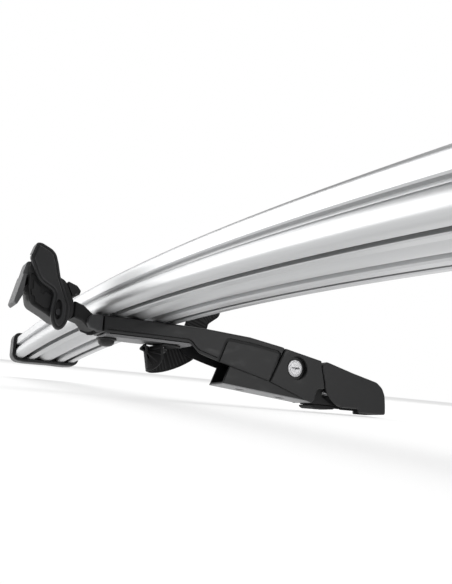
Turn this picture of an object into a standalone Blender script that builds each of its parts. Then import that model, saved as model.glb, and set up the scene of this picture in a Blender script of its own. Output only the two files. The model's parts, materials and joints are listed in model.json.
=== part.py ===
# Roof-bar load rail: an arched aluminium rail on two clamping foot arms, with strap buckles.
# Units are metres. X runs along the rail, Y across it towards the feet, Z up.
# The origin is at the bottom centre of the whole object's box.
import bpy
import bmesh
import math
from mathutils import Matrix, Vector

MM = 0.001
GAP = 0.3                     # clearance between touching pieces, mm

# Driving dimensions, mm
RAIL_LENGTH = 1330.0          # along the arc of the rail's underside
RAIL_RADIUS = 3916.0          # arc radius of the underside
RAIL_HALF_WIDTH = 35.0
RAIL_HEIGHT = 26.0
RAIL_STATIONS = 15            # straight facets along the arc
SLOT_Y = 23.15                # centre of each T-slot
SLOT_HALF_MOUTH = 2.75
SLOT_HALF_ROOM = 5.15
BED_Z = 22.0                  # floor of the rail's top channel
ARM_STATION = 364.5           # arc distance of each arm's middle from the rail's middle
ARM_HALF = 14.5               # half thickness of the arm along the rail
WALL = 2.0                    # wall of the moulded covers
INNER_HALF = ARM_HALF - WALL + 0.2
PLATE_TOP = -14.3             # clamp plate under the rail
PLATE_THICK = 2.0
BOLT_R = 2.4
LOCK_Y, LOCK_Z = 145.6, -24.6
LOCK_R = 7.8
LOCK_RECESS_R = 10.0
LOCK_RECESS_DEPTH = 4.0
LEVER_PIN = (177.5, -22.0)
LEVER_CORNER_R = 4.6
CHANNEL_PIN = (146.0, -40.0)
CHANNEL_HALF = 12.4
CHANNEL_WALL = 2.0
SCREW_Z = -42.3
SCREW_R = 2.5
NECK_PIN = (-36.5, -7.5)
NECK_HALF = 10.5
BUCKLE_PIN = (-65.0, -3.0)
RELEASE_PIN = (-87.0, 28.5)
BUCKLE_HALF = 14.5
CHEEK_INNER = 10.9
FRAME_HALF = 10.5
FRAME_INNER = 8.0
WINDOW_DEPTH = 1.3            # blind recess in the buckle frame's cheeks
PADDLE_PIN_END = 12.0
GRIP_INNER = 3.5              # inner face of the paddle's broad plate
LUG_CENTRE, LUG_Y, LUG_Z = (-64.4, -2.2), 7.1, 14.0
EYE_CENTRE, EYE_Y, EYE_Z = (-66.0, -1.4), 2.4, 7.2
STRAP_THICK = 2.2
STRAP_HALF = 11.0
PIN_END = 12.9                # half length of the pins, hidden inside the outer walls
BOLT_TOP = 3.5                # where the rail bolts' shanks meet their heads
BOLT_IN_NUT = 3.0
NUT_RADIUS = 8.0
CAP_WALL = 3.8                # moulded wall of the rail's end caps
CAP_GRIP = 9.0                # how far a cap reaches over the rail
CAP_NOSE = 14.0               # how far its rounded end stands past the rail
CAM_LENGTH = 12.0

for old in list(bpy.data.objects):
    bpy.data.objects.remove(old, do_unlink=True)

partCollection = bpy.data.collections.new("roof_load_rail")
cutCollection = bpy.data.collections.new("cutters")
bpy.context.scene.collection.children.link(partCollection)
bpy.context.scene.collection.children.link(cutCollection)


def finish(name, colour, roughness, metallic=0.0):
    mat = bpy.data.materials.new(name)
    mat.use_nodes = True
    shader = mat.node_tree.nodes["Principled BSDF"]
    shader.inputs["Base Color"].default_value = (*colour, 1.0)
    shader.inputs["Roughness"].default_value = roughness
    shader.inputs["Metallic"].default_value = metallic
    mat.diffuse_color = (*colour, 1.0)
    return mat


ALUMINIUM = finish("satin_aluminium", (0.78, 0.79, 0.80), 0.32, 0.9)
BLACK = finish("black_moulding", (0.030, 0.031, 0.034), 0.45)
GREY = finish("grey_moulding", (0.085, 0.087, 0.092), 0.42)
RUBBER = finish("black_rubber", (0.018, 0.018, 0.019), 0.75)
STEEL = finish("zinc_steel", (0.62, 0.62, 0.63), 0.35, 1.0)
CHROME = finish("lock_chrome", (0.80, 0.80, 0.81), 0.2, 1.0)


# ---------------------------------------------------------------- helpers

def adopt(obj, mat, parent, cutter=False):
    for collection in list(obj.users_collection):
        collection.objects.unlink(obj)
    (cutCollection if cutter else partCollection).objects.link(obj)
    obj.parent = parent
    obj.data.materials.clear()
    if cutter:
        obj.hide_render = True
        obj.display_type = "WIRE"
    elif mat is not None:
        obj.data.materials.append(mat)
    return obj


def outlineMesh(name, loops, low, high):
    # a flat outline in (Y, Z), with optional holes, thickened along X from low to high
    curve = bpy.data.curves.new(name, "CURVE")
    curve.dimensions = "2D"
    curve.fill_mode = "BOTH"
    curve.extrude = (high - low) / 2 * MM
    for loop in loops:
        spline = curve.splines.new("POLY")
        spline.points.add(len(loop) - 1)
        spline.use_cyclic_u = True
        for point, (y, z) in zip(spline.points, loop):
            point.co = (y * MM, z * MM, 0.0, 1.0)
    guide = bpy.data.objects.new(name + "_outline", curve)
    bpy.context.scene.collection.objects.link(guide)
    bpy.context.view_layer.update()
    evaluated = guide.evaluated_get(bpy.context.evaluated_depsgraph_get())
    mesh = bpy.data.meshes.new_from_object(evaluated)
    bpy.data.objects.remove(guide, do_unlink=True)
    # curve X -> Y, curve Y -> Z, curve Z -> X
    turn = Matrix(((0, 0, 1, 0), (1, 0, 0, 0), (0, 1, 0, 0), (0, 0, 0, 1)))
    mesh.transform(Matrix.Translation(((low + high) / 2 * MM, 0, 0)) @ turn)
    weld(mesh)
    mesh.name = name
    return mesh


def weld(mesh):
    bm = bmesh.new()
    bm.from_mesh(mesh)
    bmesh.ops.remove_doubles(bm, verts=bm.verts, dist=1e-6)
    bmesh.ops.recalc_face_normals(bm, faces=bm.faces)
    bm.to_mesh(mesh)
    bm.free()


def slab(name, outline, low, high, mat, parent, bevel=0.0, cutter=False, holes=()):
    low, high = min(low, high), max(low, high)
    mesh = outlineMesh(name, [outline, *holes], low, high)
    obj = adopt(bpy.data.objects.new(name, mesh), mat, parent, cutter)
    if bevel:
        roundEdges(obj, bevel)
    return obj


def roundEdges(obj, width, segments=1, angle=40.0):
    mod = obj.modifiers.new("rounded_edges", "BEVEL")
    mod.width = width * MM
    mod.segments = segments
    mod.limit_method = "ANGLE"
    mod.angle_limit = math.radians(angle)


def shadeRound(mesh):
    mesh.shade_smooth()
    mesh.set_sharp_from_angle(angle=math.radians(35))


def rod(name, centre, radius, length, axis, mat, parent, sides=20, cutter=False):
    # a round bar centred on a point, along X, Y or Z
    bm = bmesh.new()
    bmesh.ops.create_cone(bm, cap_ends=True, segments=sides, radius1=radius * MM,
                          radius2=radius * MM, depth=length * MM)
    mesh = bpy.data.meshes.new(name)
    bm.to_mesh(mesh)
    bm.free()
    turn = {"X": Matrix.Rotation(math.pi / 2, 4, "Y"), "Y": Matrix.Rotation(math.pi / 2, 4, "X"),
            "Z": Matrix.Identity(4)}[axis]
    mesh.transform(Matrix.Translation(Vector(centre) * MM) @ turn)
    shadeRound(mesh)
    return adopt(bpy.data.objects.new(name, mesh), mat, parent, cutter)


def block(name, low, high, mat, parent, bevel=0.0, cutter=False):
    low, high = Vector(low), Vector(high)
    bm = bmesh.new()
    bmesh.ops.create_cube(bm, size=1.0)
    mesh = bpy.data.meshes.new(name)
    bm.to_mesh(mesh)
    bm.free()
    size = [abs(high[i] - low[i]) * MM for i in range(3)]
    mesh.transform(Matrix.Translation((low + high) / 2 * MM) @ Matrix.Diagonal((*size, 1.0)))
    obj = adopt(bpy.data.objects.new(name, mesh), mat, parent, cutter)
    if bevel:
        roundEdges(obj, bevel)
    return obj


def combine(obj, tool, operation="DIFFERENCE"):
    mod = obj.modifiers.new(tool.name, "BOOLEAN")
    mod.operation = operation
    mod.solver = "EXACT"
    mod.object = tool
    return obj


def arc(cy, cz, radiusY, radiusZ, start, end, count):
    points = []
    for i in range(count + 1):
        angle = math.radians(start + (end - start) * i / count)
        points.append((cy + radiusY * math.cos(angle), cz + radiusZ * math.sin(angle)))
    return points


def mirrored(half):
    # half runs upwards at Y >= 0; its mirror image closes the outline
    other = [(-y, z) for y, z in reversed(half) if y > 1e-6]
    return half + other


def bend(obj, stations):
    # cuts a straight extrusion into facets and wraps it on the rail's arc
    mesh = obj.data
    bm = bmesh.new()
    bm.from_mesh(mesh)
    for station in stations:
        geometry = bm.verts[:] + bm.edges[:] + bm.faces[:]
        bmesh.ops.bisect_plane(bm, geom=geometry, dist=1e-7, plane_co=(station * MM, 0, 0),
                               plane_no=(1, 0, 0))
    radius = RAIL_RADIUS * MM
    for vert in bm.verts:
        along, across, up = vert.co
        angle = along / radius
        vert.co = ((radius + up) * math.sin(angle), across, (radius + up) * math.cos(angle) - radius)
    bm.to_mesh(mesh)
    bm.free()


def frameOnArc(name, station, parent):
    # an empty on the rail's underside, turned so that its X axis follows the rail
    angle = station / RAIL_RADIUS
    empty = bpy.data.objects.new(name, None)
    bpy.context.scene.collection.objects.link(empty)
    empty.parent = parent
    rise = RAIL_RADIUS * MM
    empty.location = (rise * math.sin(angle), 0.0, rise * (math.cos(angle) - 1))
    empty.rotation_euler = (0.0, angle, 0.0)
    return empty


# ---------------------------------------------------------------- rail

def railHalfProfile():
    w = RAIL_HALF_WIDTH
    points = [(0.0, 0.0), (3.4, 0.4), (6.6, 1.5), (9.7, 3.4), (9.9, 5.2), (12.5, 5.2), (12.9, 0.8)]
    points += [(13.7, 0.0), (19.7, 0.0)]
    inner, outer = SLOT_Y - SLOT_HALF_MOUTH, SLOT_Y + SLOT_HALF_MOUTH
    points += [(inner, 0.7), (inner, 2.4), (SLOT_Y - SLOT_HALF_ROOM, 2.4)]
    points += [(SLOT_Y - SLOT_HALF_ROOM, 8.2), (SLOT_Y + SLOT_HALF_ROOM, 8.2)]
    points += [(SLOT_Y + SLOT_HALF_ROOM, 2.6), (outer, 2.6), (outer, 1.0), (outer + 0.8, 0.3)]
    points += arc(w - 4.6, 5.0, 4.6, 4.6, -90, 0, 4)
    points += [(w, 7.4), (w - 0.9, 10.2), (w - 2.2, 12.2), (w - 3.7, 13.2), (w - 3.7, 14.6)]
    points += [(w - 0.5, 14.8), (w, 15.4), (w, 20.7)]
    points += arc(w - 4.7, RAIL_HEIGHT - 4.7, 4.7, 4.7, 8, 90, 4)
    points += [(w - 6.5, RAIL_HEIGHT), (w - 8.6, RAIL_HEIGHT - 1.4), (w - 11.0, BED_Z)]
    return points


def makeRail(frame):
    half = RAIL_LENGTH / 2
    chambers = [[(-8, 5.6), (8, 5.6), (8, 8.6), (13, 10.4), (13, 19.8), (-13, 19.8), (-13, 10.4),
                 (-8, 8.6)]]
    for side in (1, -1):
        chambers.append([(side * 15.2, 10.4), (side * 28.8, 10.4), (side * 28.8, 19.8),
                         (side * 15.2, 19.8)])
    rail = slab("rail", mirrored(railHalfProfile()), -half, half, ALUMINIUM, frame, holes=chambers)
    step = RAIL_LENGTH / RAIL_STATIONS
    joints = [-half + step * i for i in range(1, RAIL_STATIONS)]
    bend(rail, joints)

    stripHalf = half - 14.0
    strip = [(21.5, BED_Z + GAP), (22.5, BED_Z + 1.2), (21.0, BED_Z + 3.2)]
    pad = slab("bed_strip", mirrored(strip), -stripHalf, stripHalf, RUBBER, frame)
    bend(pad, [station for station in joints if abs(station) < stripHalf])

    for name, side in (("left_end_cap", -1), ("right_end_cap", 1)):
        makeEndCap(name, side, frameOnArc(name + "_frame", side * half, frame))


def makeEndCap(name, side, end):
    outer = RAIL_HALF_WIDTH + CAP_WALL
    top = RAIL_HEIGHT + CAP_WALL - 0.6
    body = [(0, -CAP_WALL + 0.4), (24, -CAP_WALL)] + arc(outer - 9, 6, 9, 9.2, -90, 0, 5)
    body += arc(outer - 7, top - 7, 7, 7, 0, 90, 5)
    cap = slab(name, mirrored(body), side * -CAP_GRIP, side * CAP_NOSE, BLACK, end)
    roundNose(cap.data, side)
    edge = RAIL_HALF_WIDTH + GAP
    inner = arc(edge - 5, 5, 5, 5.3, -90, 0, 4)
    inner += arc(edge - 5, RAIL_HEIGHT - 4.7, 5, 5, 0, 90, 3)
    combine(cap, slab(name + "_room", mirrored(inner), side * (-CAP_GRIP - 3), side * GAP, None, end, cutter=True))


def roundNose(mesh, side):
    # the outline shrinks along an ellipse towards the cap's outer end
    start, middle = 3.0, RAIL_HEIGHT / 2
    bm = bmesh.new()
    bm.from_mesh(mesh)
    for share in (0.0, 0.4, 0.7, 0.9):
        place = start + (CAP_NOSE - start) * share
        geometry = bm.verts[:] + bm.edges[:] + bm.faces[:]
        bmesh.ops.bisect_plane(bm, geom=geometry, dist=1e-7, plane_co=(side * place * MM, 0, 0),
                               plane_no=(1, 0, 0))
    for vert in bm.verts:
        share = (side * vert.co.x / MM - start) / (CAP_NOSE - start)
        if share > 0:
            drop = 1.0 - math.sqrt(1.0 - 0.96 * min(share, 1.0) ** 2)
            vert.co.y *= 1.0 - 0.12 * drop
            vert.co.z += (middle * MM - vert.co.z) * 0.3 * drop
    bm.to_mesh(mesh)
    bm.free()


# ---------------------------------------------------------------- foot arm

COVER = [(-30.5, -0.6), (40.5, -0.6), (54.6, -0.8), (97.6, -3.2), (129.6, -7.9), (132.4, -8.6),
         (117.8, -38.4), (70.0, -26.8), (51.2, -21.7), (42.5, -13.8), (-30.0, -13.8)]
COVER_ROOM = [(-28.0, -2.8), (40.5, -2.8), (54.6, -3.0), (97.6, -5.4), (129.6, -10.1), (140.0, -12.0),
              (140.0, -60.0), (-28.0, -60.0)]
HOUSING = [(133.0, -8.8), (171.2, -15.9), (171.6, -22.0), (174.2, -33.6), (175.3, -40.4), (167.5, -41.4),
           (164.1, -50.7), (161.6, -53.4), (118.4, -38.5)]
HOUSING_ROOM = [(110.0, -6.5), (133.0, -11.0), (169.2, -17.9), (169.6, -24.0), (171.9, -34.8),
                (180.0, -34.8), (180.0, -60.0), (110.0, -60.0)]
CORE = [(-27.6, PLATE_TOP), (43.0, PLATE_TOP), (50.0, -5.8), (98.0, -8.0), (129.0, -12.4),
        (129.0, -14.6), (98.0, -10.2), (51.0, -8.0), (44.0, PLATE_TOP - PLATE_THICK),
        (-27.6, PLATE_TOP - PLATE_THICK)]
CHANNEL = [(74.1, -44.2), (80.5, -28.0), (128.0, -36.8), (152.0, -37.2), (160.0, -43.0), (162.7, -53.0)]
JAW = [(164.6, -54.0), (164.6, -47.5), (168.5, -46.6), (168.5, -38.0), (176.0, -38.0), (176.0, -47.0),
       (188.5, -52.6), (190.0, -54.0)]
JAW_PAD = [(164.2, -54.3), (190.2, -54.3), (191.0, -55.6), (188.0, -57.4), (166.5, -57.4), (163.6, -55.6)]


def leverOutline():
    y, z = LEVER_PIN
    points = [(205.6, -23.4), (233.9, -29.7), (240.2, -34.6), (243.2, -41.0), (243.8, -50.0),
              (243.8, -58.8), (213.1, -58.8), (213.0, -55.3), (192.5, -55.3)]
    points += arc(197.5, -33.0, 22.6, 22.4, 258, 182, 6)
    points += arc(y, z, LEVER_CORNER_R + 0.6, LEVER_CORNER_R, 180, 78, 5)
    return points


LEVER_ROOM = [(160.0, -16.0), (172.0, -23.6), (184.0, -21.2), (205.0, -25.8), (232.8, -31.9),
              (238.2, -36.2), (241.2, -43.0), (241.6, -70.0), (160.0, -70.0)]


def strapRoute():
    # middle line of the ladder strap (x, y, z): under its bolt, round a half-turn fold, then up
    # outside the rail; the last number turns its width from across to upright
    knots = [((0, 34.5, -17.9), 0.0), ((0, 18.0, -17.9), 0.0), ((1.2, 14.4, -22.8), 0.33),
             ((1.8, 12.2, -27.2), 0.78), ((-1.0, 11.0, -27.9), 1.0), ((-6.0, 13.2, -27.9), 1.0),
             ((-13.9, 21.5, -27.7), 1.0), ((-17.1, 33.0, -25.2), 1.0), ((-18.2, 46.5, -19.4), 1.0),
             ((-19.0, 57.0, -11.5), 1.0), ((-19.8, 61.5, 3.0), 1.0), ((-20.6, 65.5, 15.0), 1.0),
             ((-22.0, 74.0, 22.5), 1.0), ((-23.4, 84.5, 29.5), 1.0)]
    points = [Vector(point) for point, turn in knots]
    turns = [turn for point, turn in knots]
    route = [(points[0], turns[0])]
    for i in range(len(points) - 1):
        before, after = points[max(i - 1, 0)], points[min(i + 2, len(points) - 1)]
        for share in (0.5, 1.0):
            route.append((smooth(before, points[i], points[i + 1], after, share),
                          turns[i] + (turns[i + 1] - turns[i]) * share))
    across, upright = Vector((1, 0, 0)), Vector((0, 0.2, -0.98))
    return [(point, across.lerp(upright, turn).normalized()) for point, turn in route]


def smooth(before, start, end, after, share):
    # a Catmull-Rom curve from start to end
    return 0.5 * (2 * start + (end - before) * share
                  + (2 * before - 5 * start + 4 * end - after) * share ** 2
                  + (3 * start - before - 3 * end + after) * share ** 3)


def makeStrap(name, flip, arm):
    # a flat band lofted through the route; flip mirrors it along X
    stations = strapRoute()
    bm = bmesh.new()
    rings = []
    for i, (point, width) in enumerate(stations):
        before = stations[max(i - 1, 0)][0]
        after = stations[min(i + 1, len(stations) - 1)][0]
        tangent = (after - before).normalized()
        width = (width - tangent * width.dot(tangent)).normalized()
        face = tangent.cross(width)
        half = STRAP_HALF - (3.0 if i == len(stations) - 1 else 0.0)
        corners = []
        for a, b in ((-1, -1), (1, -1), (1, 1), (-1, 1)):
            corner = point + width * (a * half) + face * (b * STRAP_THICK / 2)
            corners.append(bm.verts.new((corner.x * flip * MM, corner.y * MM, corner.z * MM)))
        rings.append(corners)
    for first, second in zip(rings, rings[1:]):
        for i in range(4):
            j = (i + 1) % 4
            bm.faces.new((first[i], first[j], second[j], second[i]))
    bm.faces.new(rings[0])
    bm.faces.new(rings[-1])
    bmesh.ops.recalc_face_normals(bm, faces=bm.faces)
    bmesh.ops.triangulate(bm, faces=bm.faces)
    mesh = bpy.data.meshes.new(name)
    bm.to_mesh(mesh)
    bm.free()
    strap = adopt(bpy.data.objects.new(name, mesh), RUBBER, arm)
    hole = rod(name + "_hole", (0, SLOT_Y, -18), BOLT_R + 0.6, 8, "Z", None, arm, 12, cutter=True)
    return combine(strap, hole)


def makeCover(side, arm):
    cover = slab(side + "arm_cover", COVER, -ARM_HALF, ARM_HALF, BLACK, arm, bevel=1.4)
    combine(cover, slab(side + "cover_room", COVER_ROOM, -INNER_HALF, INNER_HALF, None, arm, cutter=True))
    core = slab(side + "clamp_plate", CORE, -INNER_HALF + 0.4, INNER_HALF - 0.4, STEEL, arm)
    for tag, y in (("a", -SLOT_Y), ("b", SLOT_Y)):
        hole = rod(side + "bolt_hole_" + tag, (0, y, -8), BOLT_R + 0.6, 24, "Z", None, arm, 16, cutter=True)
        combine(cover, hole)
        combine(core, hole)


def makeRailBolts(side, arm):
    seat = PLATE_TOP - PLATE_THICK - GAP
    rearSeat = seat - STRAP_THICK - 0.9
    for tag, y, nutTop, size in (("front", -SLOT_Y, seat, 1.0), ("rear", SLOT_Y, rearSeat, 0.62)):
        low = nutTop - BOLT_IN_NUT * size
        bolt = rod(side + tag + "_rail_bolt", (0, y, (BOLT_TOP + low) / 2), BOLT_R, BOLT_TOP - low, "Z", STEEL,
                   arm, 12)
        head = block(side + tag + "_bolt_head", (-6.5, y - 4.6, 2.9), (6.5, y + 4.6, 6.6), None, arm,
                     cutter=True)
        combine(bolt, head, "UNION")
        nut = domeNut(side + tag + "_dome_nut", (0, y, nutTop), size, BLACK, arm)
        bore = rod(side + tag + "_nut_bore", (0, y, nutTop), BOLT_R + 0.2, 2 * BOLT_IN_NUT * size + 1.0, "Z",
                   None, arm, 12, cutter=True)
        combine(nut, bore)


def domeNut(name, top, size, mat, parent):
    # a turned cap nut: flange, barrel and dome, hanging below its seat
    shape = [(0.0, 0.0), (1.0, 0.0), (1.0, -1.4), (0.8, -1.9), (0.78, -3.8), (0.58, -5.4), (0.3, -6.2),
             (0.0, -6.4)]
    profile = [(share * NUT_RADIUS * size, depth * size) for share, depth in shape]
    mesh = bpy.data.meshes.new(name)
    bm = bmesh.new()
    verts = [bm.verts.new((r * MM, 0, z * MM)) for r, z in profile]
    for first, second in zip(verts, verts[1:]):
        bm.edges.new((first, second))
    bmesh.ops.spin(bm, geom=bm.verts[:] + bm.edges[:], cent=(0, 0, 0), axis=(0, 0, 1),
                   angle=2 * math.pi, steps=10, use_merge=False)
    bmesh.ops.remove_doubles(bm, verts=bm.verts, dist=1e-6)
    bmesh.ops.recalc_face_normals(bm, faces=bm.faces)
    bm.to_mesh(mesh)
    bm.free()
    mesh.transform(Matrix.Translation(Vector(top) * MM))
    shadeRound(mesh)
    return adopt(bpy.data.objects.new(name, mesh), mat, parent)


def makeHousing(side, flip, arm):
    housing = slab(side + "lock_housing", HOUSING, -ARM_HALF, ARM_HALF, BLACK, arm, bevel=1.2)
    combine(housing, slab(side + "housing_room", HOUSING_ROOM, -INNER_HALF, INNER_HALF, None, arm, cutter=True))
    boss = rod(side + "lock_boss", (flip * 7.0, LOCK_Y, LOCK_Z), LOCK_R + 3.4, 14.0, "X", None, arm, 24,
               cutter=True)
    combine(housing, boss, "UNION")
    mouth = rod(side + "lock_mouth", (flip * (ARM_HALF + 5.0 - LOCK_RECESS_DEPTH), LOCK_Y, LOCK_Z),
                LOCK_RECESS_R, 10.0, "X", None, arm, 28, cutter=True)
    combine(housing, mouth)
    bore = rod(side + "lock_bore", (flip * 6.0, LOCK_Y, LOCK_Z), LOCK_R + GAP, 30.0, "X", None, arm, 28,
               cutter=True)
    combine(housing, bore)
    pinHole = rod(side + "channel_pin_hole", (0, *CHANNEL_PIN), 2.6, 2 * PIN_END + 0.6, "X", None, arm, 14,
                  cutter=True)
    combine(housing, pinHole)
    rod(side + "channel_pin", (0, *CHANNEL_PIN), 2.2, 2 * PIN_END, "X", STEEL, arm, 14)

    # lock cylinder with its key slot and the cam on its inner end
    face = ARM_HALF - LOCK_RECESS_DEPTH + 0.6
    lock = rod(side + "lock_cylinder", (flip * (face / 2 - 1.0), LOCK_Y, LOCK_Z), LOCK_R, face + 2.0, "X",
               CHROME, arm, 28)
    roundEdges(lock, 0.6, 1, 50)
    keyway = block(side + "keyway", (flip * (face - 4.0), LOCK_Y - 4.2, LOCK_Z - 0.8),
                   (flip * (face + 4.0), LOCK_Y + 4.2, LOCK_Z + 0.8), None, arm, cutter=True)
    combine(lock, keyway)
    camOutline = arc(LOCK_Y, LOCK_Z, 5.0, 5.0, 90, 270, 6) + [(LOCK_Y + CAM_LENGTH, LOCK_Z - 3.4),
                                                              (LOCK_Y + CAM_LENGTH, LOCK_Z + 3.4)]
    slab(side + "lock_cam", camOutline, flip * -4.6, flip * -2.3, STEEL, arm)


def makeLever(side, arm):
    lever = slab(side + "end_lever", leverOutline(), -ARM_HALF, ARM_HALF, BLACK, arm, bevel=1.4)
    combine(lever, slab(side + "lever_room", LEVER_ROOM, -INNER_HALF, INNER_HALF, None, arm, cutter=True))
    y, z = LEVER_PIN
    pocket = block(side + "lever_pocket", (-9.5, y - 12, z - 14), (9.5, y + 6, z + 3.3), None, arm, cutter=True)
    combine(lever, pocket)
    pinHole = rod(side + "lever_pin_hole", (0, y, z), 1.85, 2 * PIN_END + 0.6, "X", None, arm, 14, cutter=True)
    combine(lever, pinHole)
    rod(side + "lever_pin", (0, y, z), 1.55, 2 * PIN_END, "X", STEEL, arm, 14)
    hinge = arc(y, z, 2.8, 2.8, -20, 225, 9) + [(176.2, -35.8), (181.0, -35.8), (181.0, -27.0)]
    knuckle = slab(side + "hinge_block", hinge, -9.0, 9.0, STEEL, arm)
    combine(knuckle, pinHole)


def makeClamp(side, arm):
    jaw = slab(side + "clamp_jaw", JAW, -9.0, 9.0, GREY, arm, bevel=0.6)
    bore = rod(side + "jaw_bore", (0, 172, SCREW_Z), SCREW_R + 0.5, 30.0, "Y", None, arm, 14, cutter=True)
    combine(jaw, bore)
    slab(side + "jaw_pad", JAW_PAD, -9.6, 9.6, RUBBER, arm, bevel=0.5)
    screw = rod(side + "clamp_screw", (0, 178.5, SCREW_Z), SCREW_R, 53.0, "Y", STEEL, arm, 14)
    head = rod(side + "screw_head", (0, 205.0, SCREW_Z), 4.6, 5.0, "Y", None, arm, 6, cutter=True)
    combine(screw, head, "UNION")
    nut = block(side + "clamp_nut", (-6, 151.4, -47.4), (6, 159.4, -36.6), STEEL, arm)
    nutBore = rod(side + "clamp_nut_bore", (0, 155, SCREW_Z), SCREW_R + 0.4, 30.0, "Y", None, arm, 14,
                  cutter=True)
    combine(nut, nutBore)

    channel = slab(side + "bar_channel", CHANNEL, -CHANNEL_HALF, CHANNEL_HALF, STEEL, arm)
    slope = (CHANNEL[-1][1] - CHANNEL[0][1]) / (CHANNEL[-1][0] - CHANNEL[0][0])
    floor = [(60.0, CHANNEL[0][1] + slope * (60.0 - CHANNEL[0][0]) + CHANNEL_WALL),
             (180.0, CHANNEL[0][1] + slope * (180.0 - CHANNEL[0][0]) + CHANNEL_WALL), (180.0, 0.0), (60.0, 0.0)]
    inner = CHANNEL_HALF - CHANNEL_WALL
    combine(channel, slab(side + "channel_room", floor, -inner, inner, None, arm, cutter=True))
    for i, y in enumerate((97.0, 137.0)):
        hole = rod(f"{side}channel_hole_{i}", (0, y, -48), 4.0, 16.0, "Z", None, arm, 16, cutter=True)
        combine(channel, hole)
    combine(channel, rod(side + "channel_pivot", (0, *CHANNEL_PIN), 2.45, 60.0, "X", None, arm, 14, cutter=True))


# ---------------------------------------------------------------- ratchet buckle

BUCKLE_FRAME = [(-84.5, 33.0), (-89.4, 31.0), (-88.8, 12.0), (-86.2, 0.6), (-74.5, -5.2), (-66.0, -10.5),
                (-57.5, -8.0), (-53.6, -4.0), (-53.6, 6.0), (-61.6, 22.0), (-76.0, 27.0)]
FRAME_ROOM = [(-100.0, 40.0), (-100.0, 24.0), (-87.0, 14.0), (-84.2, 2.4), (-73.4, -2.6), (-66.0, -8.0),
              (-40.0, -8.0), (-40.0, 40.0)]
FRAME_WINDOW = [(-86.6, 18.0), (-86.2, 11.0), (-84.2, 2.6), (-74.2, -2.4), (-70.6, -0.6), (-71.6, 8.4),
                (-81.6, 14.6), (-84.6, 18.6)]
PADDLE = [(-86.6, 46.4), (-83.0, 46.9), (-74.6, 43.2), (-71.4, 40.0), (-69.0, 33.0), (-66.7, 23.8),
          (-60.4, 9.4)]
PADDLE_LEFT = [(-70.2, 11.4), (-80.6, 17.2), (-83.6, 20.6), (-90.2, 34.6), (-89.4, 37.4)]
PADDLE_BRIDGE = [(-80.2, 44.4), (-75.2, 42.4), (-72.0, 39.4), (-69.8, 32.9), (-67.5, 23.5), (-61.4, 9.4)]
PADDLE_BRIDGE_LEFT = [(-67.9, 2.0), (-73.0, 16.0), (-78.0, 25.0), (-81.6, 34.0), (-81.8, 40.0)]
PADDLE_ROOM = [(-100.0, 38.5), (-84.0, 38.5), (-83.2, 34.0), (-40.0, 34.0), (-40.0, -20.0), (-100.0, -20.0)]
RELEASE = [(-84.8, 31.0), (-86.4, 33.0), (-91.0, 32.2), (-98.0, 1.0), (-95.6, -1.4), (-92.0, 6.5),
           (-90.8, 21.5), (-85.0, 24.6)]
RELEASE_SIDE = [(-80.0, 22.0), (-80.0, 44.0), (-105.0, 44.0), (-105.0, 22.0)]
GATE = [(-60.2, 20.0), (-59.6, 21.6), (-52.6, 19.2), (-49.4, 15.6), (-50.4, 12.2), (-52.8, 13.4),
        (-54.2, 10.8), (-55.2, 10.4)]
NECK = [(-52.9, 7.4), (-46.0, 5.2), (-40.6, 1.0)]
NECK_LOWER = [(-42.0, -11.0), (-46.5, -6.8), (-52.9, -5.0)]


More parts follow.
